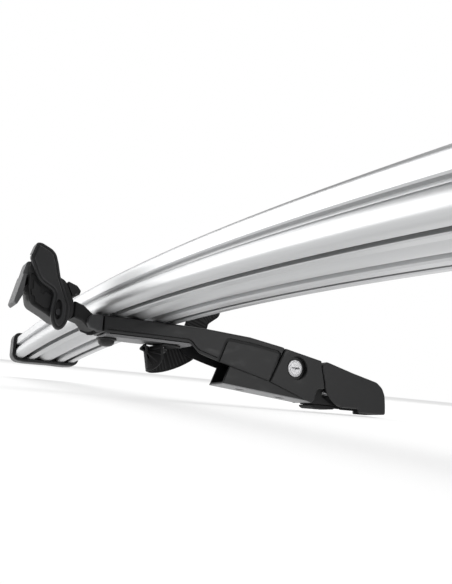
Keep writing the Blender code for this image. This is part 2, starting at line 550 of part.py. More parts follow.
def makeBuckle(side, flip, arm):
    fork = arc(-37.0, -7.4, 6.6, 6.6, 110, 250, 8) + [(-30.8, -13.6), (-30.8, -0.9)]
    tip = slab(side + "arm_tip", fork, -ARM_HALF, ARM_HALF, GREY, arm, bevel=1.0)
    slot = block(side + "tip_slot", (-NECK_HALF - 0.4, -60.0, -30.0), (NECK_HALF + 0.4, -30.9, 20.0), None,
                 arm, cutter=True)
    slot.location.y = -0.4 * MM
    combine(tip, slot)
    pinHole = rod(side + "neck_pin_hole", (0, *NECK_PIN), 1.9, 2 * PIN_END + 0.6, "X", None, arm, 12,
                  cutter=True)
    combine(tip, pinHole)
    rod(side + "neck_pin", (0, *NECK_PIN), 1.6, 2 * PIN_END, "X", STEEL, arm, 12)

    outline = NECK + arc(*NECK_PIN, 4.8, 4.8, 75, -90, 7) + NECK_LOWER
    neck = slab(side + "buckle_neck", outline, -NECK_HALF, NECK_HALF, RUBBER, arm)
    combine(neck, pinHole)

    body = slab(side + "buckle_frame", BUCKLE_FRAME, -FRAME_HALF, FRAME_HALF, BLACK, arm, bevel=0.8)
    combine(body, slab(side + "frame_room", FRAME_ROOM, -FRAME_INNER, FRAME_INNER, None, arm, cutter=True))
    for sign, tag in ((1, "a"), (-1, "b")):
        window = slab(side + "frame_window_" + tag, FRAME_WINDOW, sign * (FRAME_HALF - WINDOW_DEPTH), sign * 20,
                      None, arm, cutter=True)
        combine(body, window)
    leverHole = rod(side + "paddle_pin_hole", (0, *BUCKLE_PIN), 2.7, 2 * PADDLE_PIN_END + 0.6, "X", None, arm,
                    14, cutter=True)
    combine(body, leverHole)
    releaseEnd = FRAME_HALF - 0.9
    releaseHole = rod(side + "release_pin_hole", (0, *RELEASE_PIN), 1.8, 2 * releaseEnd + 0.6, "X", None, arm,
                      12, cutter=True)
    combine(body, releaseHole)
    slab(side + "strap_gate", GATE, -FRAME_HALF, FRAME_HALF, BLACK, arm, bevel=0.5)

    # the paddle: a broad plate with a ring at its foot on the lock side, a slim arm on the other
    lug = arc(*LUG_CENTRE, LUG_Y, LUG_Z, 25, -195, 14)
    paddle = slab(side + "buckle_paddle", PADDLE + lug + PADDLE_LEFT, flip * GRIP_INNER, flip * BUCKLE_HALF, GREY,
                  arm, bevel=1.2)
    foot = arc(-62.6, -0.2, 5.4, 5.4, 10, -165, 8)
    bridge = slab(side + "paddle_bridge", PADDLE_BRIDGE + foot + PADDLE_BRIDGE_LEFT, flip * -BUCKLE_HALF,
                  flip * (BUCKLE_HALF - 2.6), None, arm, cutter=True)
    combine(paddle, bridge, "UNION")
    combine(paddle, slab(side + "paddle_room", PADDLE_ROOM, -CHEEK_INNER, CHEEK_INNER, None, arm, cutter=True))
    combine(paddle, leverHole)
    eye = slab(side + "lug_eye", arc(*EYE_CENTRE, EYE_Y, EYE_Z, 0, 330, 11), flip * PADDLE_PIN_END, flip * 20, None,
               arm, cutter=True)
    combine(paddle, eye)
    rod(side + "paddle_pin", (0, *BUCKLE_PIN), 2.3, 2 * PADDLE_PIN_END, "X", BLACK, arm, 14)

    release = slab(side + "release_lever", RELEASE, -12.0, 12.0, GREY, arm, bevel=0.6)
    for sign, tag in ((1, "a"), (-1, "b")):
        combine(release, slab(side + "release_side_" + tag, RELEASE_SIDE, sign * (FRAME_INNER - 0.5), sign * 20,
                              None, arm, cutter=True))
    combine(release, releaseHole)
    rod(side + "release_pin", (0, *RELEASE_PIN), 1.5, 2 * releaseEnd, "X", STEEL, arm, 12)


# ---------------------------------------------------------------- assembly

root = bpy.data.objects.new("object_frame", None)
bpy.context.scene.collection.objects.link(root)
makeRail(root)
for side, place in (("left_", -1), ("right_", 1)):
    flip = -place
    arm = frameOnArc(side + "arm_frame", place * ARM_STATION, root)
    makeCover(side, arm)
    makeRailBolts(side, arm)
    makeStrap(side + "ladder_strap", flip, arm)
    makeHousing(side, flip, arm)
    makeLever(side, arm)
    makeClamp(side, arm)
    makeBuckle(side, flip, arm)

# the origin moves to the bottom centre of the whole box
bpy.context.view_layer.update()
depsgraph = bpy.context.evaluated_depsgraph_get()
corners = []
for obj in partCollection.objects:
    evaluated = obj.evaluated_get(depsgraph)
    corners += [obj.matrix_world @ vert.co for vert in evaluated.data.vertices]
low = [min(corner[i] for corner in corners) for i in range(3)]
high = [max(corner[i] for corner in corners) for i in range(3)]
root.location = (-(low[0] + high[0]) / 2, -(low[1] + high[1]) / 2, -low[2])
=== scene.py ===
import json
import math
import bmesh
import bpy
from mathutils import Matrix, Vector


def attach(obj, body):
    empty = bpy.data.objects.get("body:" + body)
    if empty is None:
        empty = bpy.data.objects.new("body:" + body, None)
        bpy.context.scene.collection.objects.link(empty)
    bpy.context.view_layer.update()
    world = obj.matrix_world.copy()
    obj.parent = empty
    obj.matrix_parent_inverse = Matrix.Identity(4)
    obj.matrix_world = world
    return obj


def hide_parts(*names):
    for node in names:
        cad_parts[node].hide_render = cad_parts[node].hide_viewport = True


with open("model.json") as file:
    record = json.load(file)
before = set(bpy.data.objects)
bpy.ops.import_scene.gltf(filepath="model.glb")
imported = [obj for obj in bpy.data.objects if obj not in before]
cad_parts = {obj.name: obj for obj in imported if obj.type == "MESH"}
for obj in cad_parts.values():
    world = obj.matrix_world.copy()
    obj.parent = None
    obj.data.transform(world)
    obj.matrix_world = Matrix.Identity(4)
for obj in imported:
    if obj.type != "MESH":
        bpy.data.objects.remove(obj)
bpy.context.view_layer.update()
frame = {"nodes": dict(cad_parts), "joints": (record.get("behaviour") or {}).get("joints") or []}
print("frame loaded:", len(frame["nodes"]), "nodes")

# Outlines are (across, up) in millimetres in an arm's own frame: x runs along the rail from the arm's
# middle towards its lock face, y across the rail towards the clamp end, z up from the rail's underside.
mm = 0.001
gap = 0.3


# numbers and links in node trees

class Num:
    # a socket that carries a number; sums and products of it add Math nodes
    def __init__(self, graph, socket):
        self.graph, self.socket = graph, socket

    def join(self, operation, first, second):
        node = self.graph.add("ShaderNodeMath", {"operation": operation}, {0: first, 1: second})
        return Num(self.graph, node.outputs[0])

    def __add__(self, other):
        return self.join("ADD", self, other)

    def __sub__(self, other):
        return self.join("SUBTRACT", self, other)

    def __rsub__(self, other):
        return self.join("SUBTRACT", other, self)

    def __mul__(self, other):
        return self.join("MULTIPLY", self, other)

    def __truediv__(self, other):
        return self.join("DIVIDE", self, other)

    __radd__ = __add__
    __rmul__ = __mul__

    def wave(self, operation):
        return self.join(operation, self, 0.0)


class Graph:
    def __init__(self, tree):
        self.tree = tree

    def add(self, kind, settings=None, values=None):
        node = self.tree.nodes.new(kind)
        for key, value in (settings or {}).items():
            setattr(node, key, value)
        for key, value in (values or {}).items():
            value = value.socket if isinstance(value, Num) else value
            if isinstance(value, bpy.types.NodeSocket):
                self.tree.links.new(value, node.inputs[key])
            else:
                node.inputs[key].default_value = value
        return node

    def num(self, kind, settings=None, values=None, output=0):
        return Num(self, self.add(kind, settings, values).outputs[output])


# finishes

class Finish(Graph):
    def __init__(self, name, roughness, metallic=0.0, specular=0.5):
        self.material = bpy.data.materials.new(name)
        self.material.use_nodes = True
        super().__init__(self.material.node_tree)
        self.shader = self.tree.nodes["Principled BSDF"]
        self.shader.inputs["Metallic"].default_value = metallic
        self.shader.inputs["Specular IOR Level"].default_value = specular
        self.shader.inputs["Roughness"].default_value = roughness
        self.place = self.add("ShaderNodeTexCoord").outputs["Object"]

    def placed(self, stretch=(1.0, 1.0, 1.0), centre=(0.0, 0.0, 0.0)):
        shift = [-c * s for c, s in zip(centre, stretch)]
        return self.add("ShaderNodeMapping", None,
                        {"Vector": self.place, "Scale": stretch, "Location": shift}).outputs[0]

    def noise(self, scale, detail=3.0, stretch=(1.0, 1.0, 1.0)):
        return self.num("ShaderNodeTexNoise", None,
                        {"Vector": self.placed(stretch), "Scale": scale, "Detail": detail})

    def contrast(self, value, low, high):
        return self.num("ShaderNodeMapRange", {"clamp": True},
                        {0: value, 1: low, 2: high, 3: 0.0, 4: 1.0})

    def colour(self, factor, dark, light):
        node = self.add("ShaderNodeMix", {"data_type": "RGBA"},
                        {0: factor, 6: (*dark, 1.0), 7: (*light, 1.0)})
        self.tree.links.new(node.outputs[2], self.shader.inputs["Base Color"])

    def roughen(self, value):
        self.tree.links.new(value.socket, self.shader.inputs["Roughness"])

    def bump(self, height, depth, strength=1.0):
        node = self.add("ShaderNodeBump", None,
                        {"Height": height, "Distance": depth, "Strength": strength})
        self.tree.links.new(node.outputs[0], self.shader.inputs["Normal"])
        return self.material


aluminiumLook = {"dark": (0.50, 0.505, 0.51), "light": (0.64, 0.645, 0.65), "roughness": 0.34,
                 "streaks": (1.5, 900.0, 900.0), "clouds": 24.0, "depth": 0.000012}


def satinAluminium():
    # extrusion lines run along the rail, with faint clouds in the anodising
    look = aluminiumLook
    finish = Finish("satinAluminium", look["roughness"], 1.0)
    streak = finish.noise(1.0, 2.0, look["streaks"])
    cloud = finish.noise(look["clouds"], 4.0, (0.3, 1.0, 1.0))
    finish.colour(streak * 0.45 + cloud * 0.55, look["dark"], look["light"])
    finish.roughen(look["roughness"] + streak * 0.10 + cloud * 0.06)
    return finish.bump(streak, look["depth"], 0.5)


def moulded(name, dark, light, roughness, grain=1500.0, depth=0.00003):
    # spark-textured moulding: a fine even grain, slow tone changes and a few polished rubs
    finish = Finish(name, roughness)
    fine = finish.noise(grain, 2.0)
    slow = finish.noise(22.0, 3.0)
    rub = finish.contrast(finish.noise(60.0, 5.0, (1.0, 1.0, 2.5)), 0.56, 0.72)
    finish.colour(slow * 0.6 + fine * 0.25 + rub * 0.15, dark, light)
    finish.roughen(roughness + fine * 0.12 - rub * 0.10)
    return finish.bump(fine, depth, 0.6)


def rubberSkin(name, dark, light):
    finish = Finish(name, 0.62, 0.0, 0.35)
    fine = finish.noise(900.0, 3.0)
    dust = finish.contrast(finish.noise(45.0, 5.0), 0.48, 0.75)
    finish.colour(dust * 0.7 + fine * 0.3, dark, light)
    finish.roughen(0.56 + fine * 0.14 + dust * 0.1)
    return finish.bump(fine, 0.00004, 0.5)


def platedSteel(name, dark, light, roughness=0.3, spangle=420.0):
    # zinc plating: small angular patches of slightly different tone
    finish = Finish(name, roughness, 1.0)
    patch = finish.num("ShaderNodeTexVoronoi", None, {"Vector": finish.placed(), "Scale": spangle})
    fine = finish.noise(1200.0, 2.0)
    tone = finish.contrast(patch, 0.0, 0.9)
    finish.colour(tone * 0.6 + fine * 0.4, dark, light)
    finish.roughen(roughness + tone * 0.12 + fine * 0.06)
    return finish.bump(fine, 0.00001, 0.4)


def lockFace(name, centre):
    # faint turned rings round the lock's axis
    finish = Finish(name, 0.22, 1.0)
    rings = finish.num("ShaderNodeTexWave", {"wave_type": "RINGS", "rings_direction": "X"},
                       {"Vector": finish.placed((1.0, 1.0, 1.0), centre), "Scale": 900.0}, 1)
    fine = finish.noise(1400.0, 2.0)
    finish.colour(rings * 0.35 + fine * 0.4, (0.44, 0.44, 0.45), (0.74, 0.74, 0.75))
    finish.roughen(0.22 + rings * 0.08 + fine * 0.08)
    return finish.bump(rings, 0.00001, 0.4)


aluminium = satinAluminium()
blackMoulding = moulded("blackMoulding", (0.0050, 0.0051, 0.0056), (0.0100, 0.0102, 0.0110), 0.34)
# darkMoulding also carries the painted shade on the arm cover's groove floors
darkMoulding = moulded("darkMoulding", (0.004, 0.004, 0.0045), (0.0085, 0.0086, 0.0092), 0.46)
jawMoulding = moulded("jawMoulding", (0.0015, 0.0015, 0.002), (0.003, 0.003, 0.0035), 0.6)
greyMoulding = moulded("greyMoulding", (0.024, 0.0245, 0.026), (0.040, 0.041, 0.043), 0.44)
paddleMoulding = moulded("paddleMoulding", (0.011, 0.0112, 0.012), (0.020, 0.0203, 0.0215), 0.42)
releaseMoulding = moulded("releaseMoulding", (0.060, 0.0605, 0.062), (0.088, 0.089, 0.091), 0.46)
# painted light: the light grey of the bar channel's underside
soleMoulding = moulded("soleMoulding", (0.26, 0.26, 0.265), (0.36, 0.36, 0.365), 0.5)
strapRubber = rubberSkin("strapRubber", (0.0045, 0.0045, 0.005), (0.011, 0.011, 0.0115))
# painted highlight: the strap teeth's lighter colour stands for the light their tops catch
ribRubber = rubberSkin("ribRubber", (0.022, 0.022, 0.023), (0.034, 0.034, 0.035))
bedRubber = rubberSkin("bedRubber", (0.010, 0.010, 0.0105), (0.020, 0.020, 0.0205))
zincPlate = platedSteel("zincPlate", (0.52, 0.52, 0.53), (0.70, 0.70, 0.71))
darkZinc = platedSteel("darkZinc", (0.20, 0.20, 0.205), (0.30, 0.30, 0.305), 0.42)
darkSteel = platedSteel("darkSteel", (0.05, 0.05, 0.052), (0.10, 0.10, 0.105), 0.38)
print("finishes ready")


# shapes in arm millimetres

weld = 0.002        # points closer than this are one point
poleRadius = 0.02   # a turned shape closes on a ring this small
straightFrom = 168  # corners flatter than this many degrees are left alone


def arc(centre, radii, start, end, steps):
    points = []
    for i in range(steps + 1):
        angle = math.radians(start + (end - start) * i / steps)
        points.append((centre[0] + radii[0] * math.cos(angle), centre[1] + radii[1] * math.sin(angle)))
    return points


def mirrored(half):
    return half + [(-y, z) for y, z in reversed(half) if y > 1e-6]


def softened(outline, radius, steps=4, closed=True):
    # rounds the corners of an outline with short curves; nearly straight corners stay as they are
    result = []
    for i, corner in enumerate(outline):
        here = Vector(corner)
        before, after = Vector(outline[i - 1]) - here, Vector(outline[(i + 1) % len(outline)]) - here
        end = not closed and i in (0, len(outline) - 1)
        reach = min(radius, 0.45 * before.length, 0.45 * after.length)
        if end or reach < 0.05 or before.angle(after) > math.radians(straightFrom):
            result.append(tuple(here))
            continue
        first, last = here + before.normalized() * reach, here + after.normalized() * reach
        for k in range(steps + 1):
            t = k / steps
            result.append(tuple(first * (1 - t) ** 2 + here * 2 * t * (1 - t) + last * t ** 2))
    return result


def area(outline):
    return sum(a[0] * b[1] - b[0] * a[1] for a, b in zip(outline, outline[1:] + outline[:1])) / 2


def crossing(first, along, second, other):
    # where two lines meet, or None when they are nearly parallel
    turn = along.x * other.y - along.y * other.x
    if abs(turn) < 0.02 * along.length * other.length:
        return None
    away = second - first
    return first + along * ((away.x * other.y - away.y * other.x) / turn)


def inset(outline, depth):
    # moves an outline inwards; runs of edges too short to survive shrink to one point
    points = [Vector(point) for point in outline]
    count = len(points)
    side = 1.0 if area(outline) > 0 else -1.0
    runs = [points[(i + 1) % count] - points[i] for i in range(count)]
    moved = []
    for i in range(count):
        first, second = runs[i - 1].normalized(), runs[i].normalized()
        lean = Vector((-first.y - second.y, first.x + second.x)) * side
        lean = lean.normalized() if lean.length > 1e-4 else Vector((-first.y, first.x)) * side
        square = max(0.35, lean.dot(Vector((-first.y, first.x)) * side))
        moved.append(points[i] + lean * depth / square)
    for _ in range(12):
        flipped = [(moved[(i + 1) % count] - moved[i]).dot(runs[i]) < -1e-9 for i in range(count)]
        if not any(flipped) or all(flipped):
            break
        start = next(i for i in range(count) if not flipped[i - 1] and flipped[i])
        i = 0
        while i < count:
            first = (start + i) % count
            if not flipped[first]:
                i += 1
                continue
            length = 1
            while flipped[(first + length) % count]:
                length += 1
            last = (first + length) % count
            spot = crossing(moved[first], runs[first - 1], moved[last], runs[last])
            spot = spot if spot is not None else (moved[first] + moved[last]) / 2
            for k in range(length + 1):
                moved[(first + k) % count] = spot
            i += length + 1
    return [tuple(point) for point in moved]


def thinned(outline, least=0.25):
    # drops points that crowd the one before them
    result = [outline[0]]
    for point in outline[1:]:
        if (Vector(point) - Vector(result[-1])).length > least:
            result.append(point)
    return result


def band(path, width):
    # the outline of a strip of one width along an open path
    left, right = [], []
    for i, corner in enumerate(path):
        here = Vector(corner)
        run = Vector(path[min(i + 1, len(path) - 1)]) - Vector(path[max(i - 1, 0)])
        side = Vector((-run.y, run.x)).normalized() * width / 2
        left.append(tuple(here + side))
        right.append(tuple(here - side))
    return left + right[::-1]


def edges(low, high, radius, steps=3):
    # places and insets that round both rims of a slab
    quarter = [i * math.pi / 2 / steps for i in range(steps + 1)]
    lower = [(low + radius * (1 - math.sin(a)), radius * (1 - math.cos(a))) for a in quarter]
    upper = [(high - radius * (1 - math.sin(a)), radius * (1 - math.cos(a))) for a in quarter]
    return lower[::-1] + upper


def linked(data, name="work"):
    obj = bpy.data.objects.new(name, data)
    bpy.context.scene.collection.objects.link(obj)
    return obj


def loft(rings):
    # joins rings of points, all of one length, and closes both ends
    bm = bmesh.new()
    loops = [[bm.verts.new(point) for point in ring] for ring in rings]
    for first, second in zip(loops, loops[1:]):
        for i in range(len(first)):
            j = (i + 1) % len(first)
            bm.faces.new((first[i], first[j], second[j], second[i]))
    bm.faces.new(loops[0])
    bm.faces.new(loops[-1])
    bmesh.ops.remove_doubles(bm, verts=bm.verts, dist=weld)
    bmesh.ops.recalc_face_normals(bm, faces=bm.faces)
    mesh = bpy.data.meshes.new("loft")
    bm.to_mesh(mesh)
    bm.free()
    return linked(mesh)


def slab(outline, stack):
    # an outline in (y, z) stacked along x; each level has its own inset
    return loft([[(x, y, z) for y, z in inset(outline, depth)] for x, depth in stack])


def block(outline, low, high):
    # a slab with square rims
    return slab(outline, [(low, 0.0), (high, 0.0)])


def plate(outline, half, edge, steps=3):
    # a slab with rounded rims, as wide on both sides of the middle
    return slab(outline, edges(-half, half, edge, steps))


def turned(profile, centre, axis, steps=48):
    # a turned shape: (radius, place along the axis), from one pole to the other
    basis = {"X": ((0, 1, 0), (0, 0, 1), (1, 0, 0)), "Y": ((0, 0, 1), (1, 0, 0), (0, 1, 0)),
             "Z": ((1, 0, 0), (0, 1, 0), (0, 0, 1))}[axis]
    first, second, along = (Vector(v) for v in basis)
    rings = []
    for radius, place in profile:
        spot = Vector(centre) + along * place
        turn = [2 * math.pi * i / steps for i in range(steps)]
        rings.append([spot + (first * math.cos(a) + second * math.sin(a)) * max(radius, poleRadius)
                      for a in turn])
    return loft(rings)


def applied(obj):
    # replaces an object's mesh by what its modifiers make of it
    bpy.context.view_layer.update()
    mesh = bpy.data.meshes.new_from_object(obj.evaluated_get(bpy.context.evaluated_depsgraph_get()))
    obj.modifiers.clear()
    obj.data = mesh
    return obj


def combine(obj, *tools, operation="DIFFERENCE"):
    for tool in tools:
        mod = obj.modifiers.new("combine", "BOOLEAN")
        mod.operation, mod.solver, mod.object = operation, "EXACT", tool
        applied(obj)
        bpy.data.objects.remove(tool, do_unlink=True)
    return obj


def joined(obj, *others):
    # puts separate closed shapes into one piece
    bm = bmesh.new()
    for part in (obj, *others):
        bm.from_mesh(part.data)
    mesh = bpy.data.meshes.new("joined")
    bm.to_mesh(mesh)
    bm.free()
    for part in others:
        bpy.data.objects.remove(part, do_unlink=True)
    obj.data = mesh
    return obj


def settle(name, obj, matrix, finish, body, sharp=38.0, second=None,
           stands=True):
    # bakes a work object's place into its mesh and hands it to its body; second is a finish for some
    # of its faces, and a piece stands for the CAD node of its own name unless stands is False
    mesh = obj.data.copy()
    mesh.transform(matrix)
    mesh.materials.clear()
    mesh.materials.append(finish)
    mesh.polygons.foreach_set("material_index", [0] * len(mesh.polygons))
    if second:
        mesh.materials.append(second[0])
        for index in second[1]:
            mesh.polygons[index].material_index = 1
    bm = bmesh.new()
    bm.from_mesh(mesh)
    bmesh.ops.remove_doubles(bm, verts=bm.verts, dist=weld * mm)
    bmesh.ops.recalc_face_normals(bm, faces=bm.faces)
    bm.to_mesh(mesh)
    bm.free()
    mesh.shade_smooth()
    mesh.set_sharp_from_angle(angle=math.radians(sharp))
    bpy.data.objects.remove(obj, do_unlink=True)
    piece = linked(mesh, name)
    weigh = piece.modifiers.new("flat faces stay flat", "WEIGHTED_NORMAL")
    weigh.keep_sharp = True
    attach(piece, body)
    if stands:
        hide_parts(name)


# geometry node trees

def newTree(name, sockets):
    tree = bpy.data.node_groups.new(name, "GeometryNodeTree")
    for title, kind in sockets:
        tree.interface.new_socket(name=title, in_out="INPUT", socket_type="NodeSocket" + kind)
    tree.interface.new_socket(name="Geometry", in_out="OUTPUT", socket_type="NodeSocketGeometry")
    graph = Graph(tree)
    return graph, graph.add("NodeGroupInput"), graph.add("NodeGroupOutput")


def endTree(graph, given, result, geometry):
    real = graph.add("GeometryNodeRealizeInstances", None, {0: geometry})
    dressed = graph.add("GeometryNodeSetMaterial", None,
                        {"Geometry": real.outputs[0], "Material": given.outputs["Finish"]})
    graph.tree.links.new(dressed.outputs[0], result.inputs[0])
    return graph.tree


def sweepOnArc():
    # sweeps a profile along a straight line and wraps the result on a circle
    graph, given, result = newTree("sweepOnArc", [("Geometry", "Geometry"), ("Profile", "Object"),
                                                  ("Length", "Float"), ("Radius", "Float"),
                                                  ("Steps", "Int"), ("Finish", "Material")])
    half = Num(graph, given.outputs["Length"]) * 0.5
    ends = [graph.add("ShaderNodeCombineXYZ", None, {0: half * sign}).outputs[0] for sign in (-1.0, 1.0)]
    line = graph.add("GeometryNodeCurvePrimitiveLine", None, {"Start": ends[0], "End": ends[1]})
    points = graph.add("GeometryNodeResampleCurve", {"mode": "COUNT"},
                       {"Curve": line.outputs[0], "Count": given.outputs["Steps"]})
    upright = graph.add("GeometryNodeSetCurveNormal", {"mode": "Z_UP"}, {0: points.outputs[0]})
    profile = graph.add("GeometryNodeObjectInfo", None, {"Object": given.outputs["Profile"]})
    mesh = graph.add("GeometryNodeCurveToMesh", None, {"Curve": upright.outputs[0],
                                                       "Profile Curve": profile.outputs["Geometry"],
                                                       "Fill Caps": True})
    place = graph.add("ShaderNodeSeparateXYZ", None,
                      {0: graph.add("GeometryNodeInputPosition").outputs[0]}).outputs
    radius = Num(graph, given.outputs["Radius"])
    angle = Num(graph, place[0]) / radius
    reach = radius + Num(graph, place[2])
    moved = graph.add("ShaderNodeCombineXYZ", None, {0: reach * angle.wave("SINE"), 1: place[1],
                                                     2: reach * angle.wave("COSINE") - radius})
    bent = graph.add("GeometryNodeSetPosition", None,
                     {"Geometry": mesh.outputs[0], "Position": moved.outputs[0]})
    return endTree(graph, given, result, bent.outputs[0])


def repeatOnPoints():
    # puts one part on every point, turned by the point's own two directions
    graph, given, result = newTree("repeatOnPoints", [("Geometry", "Geometry"), ("Part", "Object"),
                                                      ("Size", "Float"), ("Finish", "Material")])
    ways = []
    for title in ("acrossWay", "alongWay"):
        node = graph.add("GeometryNodeInputNamedAttribute", {"data_type": "FLOAT_VECTOR"},
                         {"Name": title})
        ways.append(next(o for o in node.outputs if o.enabled))
    turn = graph.add("FunctionNodeAxesToRotation", {"primary_axis": "X", "secondary_axis": "Y"},
                     {0: ways[0], 1: ways[1]})
    part = graph.add("GeometryNodeObjectInfo", None,
                     {"Object": given.outputs["Part"], "As Instance": True})
    copies = graph.add("GeometryNodeInstanceOnPoints", None,
                       {"Points": given.outputs["Geometry"], "Instance": part.outputs["Geometry"],
                        "Rotation": turn.outputs[0], "Scale": given.outputs["Size"]})
    return endTree(graph, given, result, copies.outputs[0])


def evaluatedTree(obj, tree, values):
    # runs a tree on an object and leaves its result as a plain mesh
    mod = obj.modifiers.new("tree", "NODES")
    mod.node_group = tree
    for item in tree.interface.items_tree:
        if item.in_out == "INPUT" and item.name in values:
            mod[item.identifier] = values[item.name]
    return applied(obj)


def repeated(part, spots, finish):
    # spots are (place, across, along); the part's own x and y follow across and along
    mesh = bpy.data.meshes.new("spots")
    mesh.from_pydata([tuple(spot[0]) for spot in spots], [], [])
    for title, index in (("acrossWay", 1), ("alongWay", 2)):
        attribute = mesh.attributes.new(title, "FLOAT_VECTOR", "POINT")
        attribute.data.foreach_set("vector", [value for spot in spots for value in spot[index]])
    obj = evaluatedTree(linked(mesh), repeatTree, {"Part": part, "Size": 1.0, "Finish": finish})
    bpy.data.objects.remove(part, do_unlink=True)
    return obj


sweepTree = sweepOnArc()
repeatTree = repeatOnPoints()


# rail, bed strip and end caps

rail = {"length": 1330.0, "radius": 3916.0, "halfWidth": 35.0, "height": 26.0, "steps": 150,
        "slotY": 23.15, "slotMouth": 2.75, "slotRoom": 5.15, "bedZ": 22.0, "lowerRound": 4.6,
        "upperRound": 4.7}
strip = {"short": 14.0, "half": 22.4, "ribs": 6, "firstRib": 19.0, "ribPitch": 3.6, "ribHalf": 1.2,
         "ribTop": 2.8}


def railProfile():
    w, h = rail["halfWidth"], rail["height"]
    slotY, mouth, room = rail["slotY"], rail["slotMouth"], rail["slotRoom"]
    low, high = rail["lowerRound"], rail["upperRound"]
    flute = [(0.0, 0.0), (1.8, 0.1), (3.4, 0.4), (5.1, 0.9), (6.6, 1.6), (8.2, 2.4), (9.5, 3.4),
             (9.9, 5.2), (12.5, 5.2), (12.8, 1.2), (13.7, 0.1), (19.6, 0.0)]
    slot = [(slotY - mouth, 0.6), (slotY - mouth, 2.4), (slotY - room, 2.4), (slotY - room, 8.2),
            (slotY + room, 8.2), (slotY + room, 2.6), (slotY + mouth, 2.6), (slotY + mouth, 1.0),
            (slotY + mouth + 0.8, 0.3)]
    side = arc((w - low, 5.0), (low, low), -90, 0, 8)
    side += [(w, 7.0), (w - 0.5, 9.0), (w - 1.3, 11.0), (w - 2.3, 12.4), (w - 3.7, 13.2), (w - 3.7, 14.6),
             (w - 0.7, 14.8), (w, 15.6), (w, 20.7)]
    side += arc((w - high, h - high), (high, high), 4, 90, 8)
    side += [(w - 6.5, h), (w - 7.6, h - 0.5), (w - 8.6, h - 1.4), (w - 11.0, rail["bedZ"])]
    return mirrored(flute + slot + side)


def stripProfile():
    # a flat strip with long ribs on its upper face
    low = rail["bedZ"] + gap
    half = [(strip["half"] - 0.9, low), (strip["half"], low + 0.9), (strip["half"] - 0.8, low + 2.1)]
    wide, narrow, root, top = strip["ribHalf"], strip["ribHalf"] - 0.5, low + 1.9, low + strip["ribTop"]
    for i in range(strip["ribs"]):
        middle = strip["firstRib"] - i * strip["ribPitch"]
        rib = [(middle + wide, root), (middle + narrow, top), (middle - narrow, top),
               (middle - wide, root)]
        half += [point for point in rib if point[0] > 0]
    return mirrored(half)


def sweptPiece(name, outline, length, finish):
    curve = bpy.data.curves.new(name + "Profile", "CURVE")
    curve.dimensions = "2D"
    spline = curve.splines.new("POLY")
    spline.points.add(len(outline) - 1)
    spline.use_cyclic_u = True
    for point, (y, z) in zip(spline.points, outline):
        point.co = (-y * mm, -z * mm, 0.0, 1.0)
    guide = linked(curve, name + "Profile")
    work = evaluatedTree(linked(bpy.data.meshes.new(name)), sweepTree,
                         {"Profile": guide, "Length": length * mm, "Radius": rail["radius"] * mm,
                          "Steps": rail["steps"], "Finish": finish})
    bpy.data.objects.remove(guide, do_unlink=True)
    settle(name, work, Matrix.Translation(railOrigin), finish, "rail", 30.0)


lock = {"y": 145.6, "z": -24.6, "radius": 7.8, "recess": 10.0, "depth": 4.0, "proud": 0.6,
        "slotHalf": 4.2, "slotWide": 0.7, "slotDeep": 4.0}


def leftArmPlace():
    # the left arm's frame comes from its lock joint: position and axis from the record
    joint = next(j for j in frame["joints"] if j["name"] == "left_lock_turn")
    along, across = Vector(joint["axis"]), Vector((0.0, 1.0, 0.0))
    along = -along if along.x < 0 else along
    up = along.cross(across)
    matrix = Matrix((along * mm, across * mm, up * mm)).transposed().to_4x4()
    matrix.translation = Vector(joint["pos_m"]) - (across * lock["y"] + up * lock["z"]) * mm
    return matrix, up


leftPlace, leftUp = leftArmPlace()
rightPlace = Matrix.Scale(-1, 4, (1, 0, 0)) @ leftPlace
# the rail's arc passes under the arms' stations: its centre is one radius straight below them
arcCentre = leftPlace.translation - leftUp * rail["radius"] * mm
railOrigin = Vector((0.0, leftPlace.translation.y, arcCentre.z + rail["radius"] * mm))
print("arms and rail placed")

sweptPiece("rail", railProfile(), rail["length"], aluminium)
sweptPiece("bed_strip", stripProfile(), rail["length"] - 2 * strip["short"], bedRubber)

cap = {"wall": 3.8, "grip": 9.0, "nose": 14.0, "bulgeFrom": 3.0, "sideDraw": 0.12, "topDraw": 0.3,
       "round": 9.0, "upperRound": 7.0, "notchY": (-21.0, 9.0), "notchHalf": 6.0, "notchX": (4.6, 9.2),
       "notchTop": -1.6, "insideRound": 5.0, "rings": 10}


